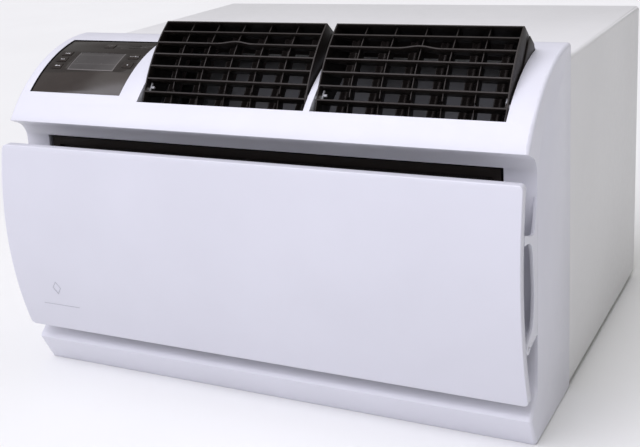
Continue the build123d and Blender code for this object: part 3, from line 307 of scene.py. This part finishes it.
def crystal_display(name, colour):
    """Blank liquid crystal: a grey field whose left, right and lower edges are paler as a painted
    highlight, with two faint row lines.
    """
    s = Shader(name)
    # the paler edge is a painted highlight
    border, soft = 0.0016, 0.6  # width of the edge, and the share of it that is fully pale
    row_lines = (0.30, 0.78)  # shares of the field's height
    x, y, _ = s.axes()
    low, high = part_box("display")
    edge_highlights = (
        s.span(x, low.x + border * soft, low.x + border, 1.0, 0.0),
        s.span(x, high.x - border, high.x - border * soft, 0.0, 1.0),
        s.span(y, low.y + border * soft, low.y + border, 1.0, 0.0),
    )
    # painted highlight along the edges, then the display's own two row lines added to it
    edge_highlight_and_rows = s.maths("MAXIMUM", s.maths("MAXIMUM", edge_highlights[0], edge_highlights[1]), edge_highlights[2])
    for share in row_lines:
        line_y = low.y + share * (high.y - low.y)
        away = s.maths("ABSOLUTE", s.maths("SUBTRACT", y, line_y))
        edge_highlight_and_rows = s.maths("MAXIMUM", edge_highlight_and_rows, s.span(away, 0.0002, 0.0006, 0.35, 0.0))
    field = s.ramp(s.noise(40.0, 3.0), 0.3, 0.7, (shade(colour, 0.9), shade(colour, 1.1)))
    s.colour(s.mix(edge_highlight_and_rows, field, shade(colour, 2.4)))
    s.roughness(s.noise(200.0), (0.2, 0.28))
    s.bump((edge_highlight_and_rows, 0.00005))
    s.set(Specular_IOR_Level=0.3)
    return s.material


def printed(name, colour):
    """Screen-printed ink."""
    s = Shader(name)
    s.mottle(s.noise(900.0, 3.0), colour, (0.85, 1.0))
    s.bump((s.noise(2500.0), 0.00001))
    s.set(Roughness=0.5)
    return s.material


# each finish: its maker, its colour and what else the maker takes
FINISHES = {
    "bezel_plastic": (moulded, (0.703, 0.702, 0.768), dict(rough=0.38)),
    "panel_plastic": (moulded, (0.686, 0.685, 0.756), dict(rough=0.36)),
    "cabinet_paint": (powder_coat, (0.735, 0.731, 0.732), dict(rough=0.45)),
    "pan_steel": (galvanised, (0.62, 0.63, 0.64), {}),
    "louvre_plastic": (
        moulded,
        (0.0125, 0.0100, 0.009),
        dict(rough=0.42, spread=0.12, gloss=0.32, tint=WARM),
    ),
    "vane_plastic": (
        moulded,
        (0.019, 0.0155, 0.0145),
        dict(rough=0.27, spread=0.2, gloss=0.34, tint=WARM),
    ),
    "clip_plastic": (moulded, (0.42, 0.42, 0.44), dict(rough=0.45)),
    "lens_plastic": (window_lens, (0.026, 0.0208, 0.0185), {}),
    "display_glass": (crystal_display, (0.062, 0.057, 0.056), {}),
    "key_plastic": (glossy, (0.024, 0.018, 0.0155), dict(rough=0.16, coat=0.08, gloss=0.35)),
    "sensor_plastic": (glossy, (0.010, 0.004, 0.004), dict(rough=0.05, coat=0.8)),
    "filter_plastic": (moulded, (0.010, 0.0075, 0.0062), dict(rough=0.55, gloss=0.25, tint=WARM)),
    "filter_cloth": (filter_net, (0.012, 0.008, 0.006), {}),
    "coil_aluminium": (metal, (0.78, 0.79, 0.80), dict(rough=0.32, drawn=(1.0, 1.0, 0.05))),
    "copper": (metal, (0.78, 0.42, 0.27), dict(rough=0.28, drawn=(1.0, 0.1, 0.1))),
    "steel": (metal, (0.58, 0.58, 0.59), dict(rough=0.3, drawn=(1.0, 1.0, 0.1))),
    "black_paint": (powder_coat, (0.018, 0.018, 0.019), dict(rough=0.35)),
    "white_foam": (foam, (0.70, 0.70, 0.68), {}),
    "grey_plastic": (moulded, (0.20, 0.20, 0.21), dict(rough=0.5)),
    "rubber": (soft_rubber, (0.022, 0.022, 0.022), {}),
    "board": (circuit_board, (0.02, 0.13, 0.05), {}),
    "ink": (printed, (0.56, 0.55, 0.56), {}),
    "dim_ink": (printed, (0.10, 0.095, 0.095), {}),
    "emblem_print": (printed, (0.53, 0.53, 0.59), {}),
    # near-black finish of the strip beside the control lens: painted shadow of the gap round it
    "shadow_gap_black": (moulded, (0.0030, 0.0033, 0.0042), dict(rough=0.7, gloss=0.04)),
}
made = {}


def material(finish):
    if finish not in made:
        maker, colour, values = FINISHES[finish]
        made[finish] = maker(finish, colour, **values)
    return made[finish]


# ------------------------------------------------------------ the frame's own parts
SOFT_EDGES = {  # width of the rounded edges in mm, where it isn't PLAIN_EDGE
    "front_bezel": 0.9,
    "intake_panel": 0.6,
    "cabinet_wrapper": 0.5,
    "rear_guard": 0.5,
    "louvre_grille_left": 0.22,
    "louvre_grille_right": 0.22,
    "control_lens": 0.25,
    "base_pan": 0.3,
    "base_runners": 0.6,
    "panel_arms": 0.5,
    "filter_frame": 0.4,
}
PLAIN_EDGE = 0.15
WELD_DISTANCE = 0.000005
ROUNDED_FROM, PART_SHARP_FROM, PIECE_SHARP_FROM = 40, 32, 35  # angles between faces, in degrees


def smooth(mesh, sharp_from):
    for polygon in mesh.polygons:
        polygon.use_smooth = True
    mesh.set_sharp_from_angle(angle=math.radians(sharp_from))


def dress(node_name, slot_name):
    """Gives a part its material, smooth shading and softly rounded edges."""
    obj = nodes[node_name]
    obj.data.materials.clear()
    obj.data.materials.append(material(slot_name))
    weld = obj.modifiers.new("weld", "WELD")
    weld.merge_threshold = WELD_DISTANCE
    bevel = obj.modifiers.new("soft_edges", "BEVEL")
    bevel.width = SOFT_EDGES.get(node_name, PLAIN_EDGE) * MM
    bevel.segments = 2
    bevel.limit_method = "ANGLE"
    bevel.angle_limit = math.radians(ROUNDED_FROM)
    bevel.harden_normals = False
    smooth(obj.data, PART_SHARP_FROM)


for part in frame["record"]["subparts"]:
    dress(part["node"], part["material_slot"])


# ------------------------------------------------------------ extra pieces
def finish_piece(name, bm, body, slot_name, look=None, replaced=()):
    """Turns a bmesh into a piece that rides on a body and takes its finish from a slot."""
    bmesh.ops.recalc_face_normals(bm, faces=bm.faces)
    mesh = bpy.data.meshes.new(name)
    bm.to_mesh(mesh)
    bm.free()
    smooth(mesh, PIECE_SHARP_FROM)
    mesh.materials.append(material(look or slot_name))
    obj = bpy.data.objects.new(name, mesh)
    bpy.context.scene.collection.objects.link(obj)
    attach(obj, body)
    if replaced:
        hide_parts(*replaced)
    return obj


def skin(bm, rings):
    """Joins rings of vertices, each closed on itself, with four-sided faces."""
    count = len(rings[0])
    for one, two in zip(rings, rings[1:]):
        for i in range(count):
            j = (i + 1) % count
            bm.faces.new((one[i], one[j], two[j], two[i]))


def plate(bm, outline, place, heights):
    """A flat plate between two heights over a place: origin, u, v and normal; sizes in mm."""
    origin, u, v, normal = place
    rings = []
    for height in heights:
        spots = [origin + (u * a + v * b + normal * height) * MM for a, b in outline]
        rings.append([bm.verts.new(spot) for spot in spots])
    bm.faces.new(rings[1])
    bm.faces.new(list(reversed(rings[0])))
    skin(bm, rings)


def arc(centre, radius, first, last, steps=10):
    """Points on an arc between two angles in degrees."""
    angles = [math.radians(first + (last - first) * i / steps) for i in range(steps + 1)]
    return [(centre[0] + radius * math.cos(a), centre[1] + radius * math.sin(a)) for a in angles]


def dash(u, v, length, width):
    """A short level stroke with round ends."""
    reach = (length - width) / 2
    return arc((u + reach, v), width / 2, -90, 90) + arc((u - reach, v), width / 2, 90, 270)


def dots(places, v=0, length=1.5, width=1.5):
    return [dash(u, v, length, width) for u in places]


def triangle(u, v, size, up):
    k = size / 2 if up else -size / 2
    return [(u - size / 2, v - k), (u + size / 2, v - k), (u, v + k)]


def lozenge(half_width, half_height):
    return [(half_width, 0), (0, half_height), (-half_width, 0), (0, -half_height)]


# marks on each key: generic signs in place of words, in mm from the middle of the key
KEY_MARKS = {
    "key_mode": dots((-2.9, -0.9)) + [dash(1.9, 0, 3.0, 1.5)],
    "key_fan": dots((-2.0, 0.0, 2.0), width=1.4),
    "key_timer": [dash(-1.6, 0, 3.4, 1.5)] + dots((1.3, 3.2)),
    "key_power": [
        arc((0, 0), 1.9, 125, 415, 24) + arc((0, 0), 1.4, 415, 125, 24),
        [(-0.25, 0.6), (0.25, 0.6), (0.25, 2.5), (-0.25, 2.5)],
    ],
    "key_up": [triangle(1.6, 0.5, 2.0, True)]
    + dots((-5.2, -3.3, -1.4, 4.0, 5.6), -0.2, 1.3, 0.6),
    "key_down": [triangle(0, 0, 2.1, False)],
}
MARK_HEIGHTS = (-0.05, 0.04)  # mm from the key's face
CROWN_CENTRE = Vector((0.0, -95.0, 199.5)) * MM  # the bezel's crown is round about this, along X
KEY_TOP = 186.3  # radius of the keys' faces, in mm


def key_place(key):
    """Origin and axes of a key's face."""
    low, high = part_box(key)
    middle = (low + high) / 2
    out = Vector((0.0, middle.y - CROWN_CENTRE.y, middle.z - CROWN_CENTRE.z)).normalized()
    origin = Vector((middle.x, CROWN_CENTRE.y, CROWN_CENTRE.z)) + out * KEY_TOP * MM
    return origin, ACROSS, out.cross(ACROSS), out


def key_marks():
    for key, outlines in KEY_MARKS.items():
        bm = bmesh.new()
        for outline in outlines:
            plate(bm, outline, key_place(key), MARK_HEIGHTS)
        look = "dim_ink" if key == "key_power" else "ink"
        finish_piece(f"mark_{key}", bm, key, "key_plastic", look)


def lens_shadow_strip():
    """A black strip beside the control lens, along its upper and left edges: painted shadow where
    the gap round the sunk lens falls in shade.
    """
    left, left_inner, right = -293.1, -290.9, -165.8  # X, in mm
    top, top_inner, bottom = 100.3, 101.0, 132.2  # degrees round the crown
    foot, face = 185.4, 186.07  # radii, in mm
    strips = (((left, left_inner), (top, bottom)), ((left, right), (top, top_inner)))
    bm = bmesh.new()
    for (start, end), angles in strips:
        section = ((start, foot), (start, face), (end, face), (end, foot))
        rings = []
        for y, z in arc((0, 0), 1.0, *angles, 24):
            out = Vector((0.0, y, z))
            ring = []
            for x, radius in section:
                spot = CROWN_CENTRE + Vector((x, 0.0, 0.0)) * MM + out * radius * MM
                ring.append(bm.verts.new(spot))
            rings.append(ring)
        skin(bm, rings)
        bm.faces.new(rings[0])
        bm.faces.new(list(reversed(rings[-1])))
    # near-black, barely glossy: painted shadow of the gap round the lens
    finish_piece("lens_shadow_strip", bm, "chassis", "lens_plastic", "shadow_gap_black")


EMBLEM_X, EMBLEM_Z, EMBLEM_LINE_Z = -0.2476, 0.115, 0.115 - 0.0235
EMBLEM_HEIGHTS = (-0.4, 0.25)  # mm from the panel's face


def panel_place(x, z):
    """Origin and axes of a spot on the intake panel's face."""
    before = Vector((x, -1.0, z))
    _, spot, out, _ = nodes["intake_panel"].ray_cast(before, Vector((0.0, 1.0, 0.0)))
    return spot, ACROSS, out.cross(ACROSS), out


def emblem():
    """A plain raised lozenge over a thin line, low on the left of the intake panel."""
    outer, inner = lozenge(5.8, 8.6), lozenge(4.9, 7.3)
    place = panel_place(EMBLEM_X, EMBLEM_Z)
    bm = bmesh.new()
    for i in range(4):
        j = (i + 1) % 4
        plate(bm, [outer[i], outer[j], inner[j], inner[i]], place, EMBLEM_HEIGHTS)
    plate(bm, dash(0, 0, 52.0, 0.9), panel_place(EMBLEM_X, EMBLEM_LINE_Z), EMBLEM_HEIGHTS)
    finish_piece("panel_emblem", bm, "panel", "panel_plastic", "emblem_print")


FIN_PITCH = 1.8  # mm
FIN_RIDGES = 12
FIN_WAVE = 0.00022
FIN_THICKNESS = 0.00012
# how far in from the coil's two ends, and how wide, a tube is at each ring, in mm
TUBE_PROFILE = [(0.0, 4.7), (2.4, 4.7), (4.0, 4.0), (-4.0, 4.0), (-2.4, 4.7), (0.0, 4.7)]
TUBE_OFFSETS = (-0.01, 0.01)  # Z of a row's two tubes from the row's middle


def coil_fins(node, low, high):
    """Thin corrugated fins, side by side along X."""
    count = int((high.x - low.x) / (FIN_PITCH * MM))
    bm = bmesh.new()
    for i in range(count + 1):
        x = low.x + (high.x - low.x) * i / count
        columns = []
        for k in range(FIN_RIDGES + 1):
            y = low.y + (high.y - low.y) * k / FIN_RIDGES
            wave = FIN_WAVE if k % 2 else -FIN_WAVE
            columns.append([bm.verts.new((x + wave, y, z)) for z in (low.z, high.z)])
        for first, second in zip(columns, columns[1:]):
            bm.faces.new((first[0], second[0], second[1], first[1]))
    fins = finish_piece(f"{node}_fins", bm, "chassis", "coil_aluminium", replaced=(node,))
    sheet = fins.modifiers.new("sheet", "SOLIDIFY")
    sheet.thickness = FIN_THICKNESS


def coil_tubes(node, low, high, rows):
    """Rows of tubes along X with belled ends."""
    y = (low.y + high.y) / 2
    step = (high.z - low.z) / rows
    half = len(TUBE_PROFILE) // 2
    bm = bmesh.new()
    for row in range(rows):
        for offset in TUBE_OFFSETS:
            z = low.z + (row + 0.5) * step + offset
            rings = []
            for i, (inset, radius) in enumerate(TUBE_PROFILE):
                x = (low.x if i < half else high.x) + inset * MM
                circle = arc((0, 0), radius, 0, 345, 23)
                rings.append([bm.verts.new((x, y + a * MM, z + b * MM)) for a, b in circle])
            skin(bm, rings)
    finish_piece(f"{node}_tubes", bm, "chassis", "copper")


def coil(node, rows):
    """A coil as it is made: fins on rows of tubes."""
    low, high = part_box(node)
    coil_fins(node, low, high)
    coil_tubes(node, low, high, rows)


SCREW_APART = 0.01  # vertices of one screw head are nearer than this in X and Z
SCREW_TURNS = 32
SLOT_DEPTH, FLOOR_DEPTH = 1.1, 1.3  # of the cross recess, in mm


def screw_places():
    """Middle of each of the cabinet's screw heads in X and Z, with the Y of its seat and top."""
    heads = []
    for vertex in nodes["cabinet_screws"].data.vertices:
        spot = vertex.co.copy()
        for head in heads:
            if math.hypot(spot.x - head[0].x, spot.z - head[0].z) < SCREW_APART:
                head.append(spot)
                break
        else:
            heads.append([spot])
    for head in heads:
        lows = [min(v[i] for v in head) for i in range(3)]
        highs = [max(v[i] for v in head) for i in range(3)]
        yield (lows[0] + highs[0]) / 2, (lows[2] + highs[2]) / 2, lows[1], highs[1]


def screws():
    """Pan heads with a cross recess on small flanged collars."""
    bm = bmesh.new()
    for x, z, seat, top in screw_places():
        rise = (top - seat) / MM
        collar = [(4.0, 0.0), (4.0, 0.25), (3.4, 0.35)]  # radius and height, in mm
        dome = [(3.3, 0.8), (2.9, 1.5), (2.2, 0.93 * rise), (1.1, rise)]
        rings = []
        for radius, height in collar + dome:
            ring = []
            for i in range(SCREW_TURNS):
                a = math.tau * i / SCREW_TURNS
                in_slot = height > 0.9 * rise and i % (SCREW_TURNS // 4) == 0
                y = seat + (height - SLOT_DEPTH if in_slot else height) * MM
                reach = radius * MM
                ring.append(bm.verts.new((x + reach * math.cos(a), y, z + reach * math.sin(a))))
            rings.append(ring)
        skin(bm, rings)
        recess = bm.verts.new((x, seat + (rise - FLOOR_DEPTH) * MM, z))
        for i in range(SCREW_TURNS):
            bm.faces.new((rings[-1][i], rings[-1][(i + 1) % SCREW_TURNS], recess))
    finish_piece("cabinet_screw_heads", bm, "chassis", "steel", replaced=("cabinet_screws",))


key_marks()
lens_shadow_strip()
emblem()
coil("condenser_coil", 6)
coil("evaporator_coil", 4)
screws()


# ------------------------------------------------------------ stage
FLOOR_HALF = 12.0
FLOOR_TONES = ((0.81, 0.81, 0.80, 1), (0.83, 0.83, 0.82, 1))
SKY_COLOUR, SKY_STRENGTH = (1.0, 0.995, 0.98, 1.0), 0.28
# far, soft lights: name, direction they shine from, strength, apparent width in degrees, colour
SUNS = (
    ("key", (-0.38, -0.8, 1.15), 2.42, 60, (0.90, 0.894, 1.0)),
    ("top", (0.0, -0.1, 1.0), 0.85, 70, (1.0, 0.99, 0.98)),
)


def camera():
    data = bpy.data.cameras.new("camera")
    data.lens = VIEW_LENS
    data.sensor_width = 36.0
    data.shift_x, data.shift_y = VIEW_SHIFT
    data.clip_start, data.clip_end = 0.05, 60.0
    obj = bpy.data.objects.new("camera", data)
    turn = Matrix.Rotation(math.radians(VIEW_AZIMUTH), 4, "Z")
    tip = Matrix.Rotation(math.radians(90 - VIEW_ELEVATION), 4, "X")
    roll = Matrix.Rotation(math.radians(VIEW_ROLL), 4, "Z")
    obj.matrix_world = Matrix.Translation(VIEW_PLACE) @ turn @ tip @ roll
    bpy.context.scene.collection.objects.link(obj)
    bpy.context.scene.camera = obj


def sun(name, direction, strength, spread, colour):
    data = bpy.data.lights.new(name, "SUN")
    data.energy = strength
    data.color = colour
    data.angle = math.radians(spread)
    obj = bpy.data.objects.new(name, data)
    obj.rotation_euler = Vector(direction).to_track_quat("Z", "Y").to_euler()
    bpy.context.scene.collection.objects.link(obj)


def stage():
    """Pale floor, even sky and soft lights."""
    bm = bmesh.new()
    bmesh.ops.create_grid(bm, x_segments=1, y_segments=1, size=FLOOR_HALF)
    mesh = bpy.data.meshes.new("floor")
    bm.to_mesh(mesh)
    bm.free()
    floor = bpy.data.objects.new("floor", mesh)
    bpy.context.scene.collection.objects.link(floor)
    s = Shader("pale_floor")
    s.colour(s.ramp(s.noise(3.0), 0.3, 0.7, FLOOR_TONES))
    s.set(Roughness=0.9)
    mesh.materials.append(s.material)

    world = bpy.data.worlds.new("studio")
    world.use_nodes = True
    sky = world.node_tree.nodes["Background"]
    sky.inputs["Color"].default_value = SKY_COLOUR
    sky.inputs["Strength"].default_value = SKY_STRENGTH
    bpy.context.scene.world = world

    for values in SUNS:
        sun(*values)
    bpy.context.scene.view_settings.view_transform = "Standard"


camera()
stage()
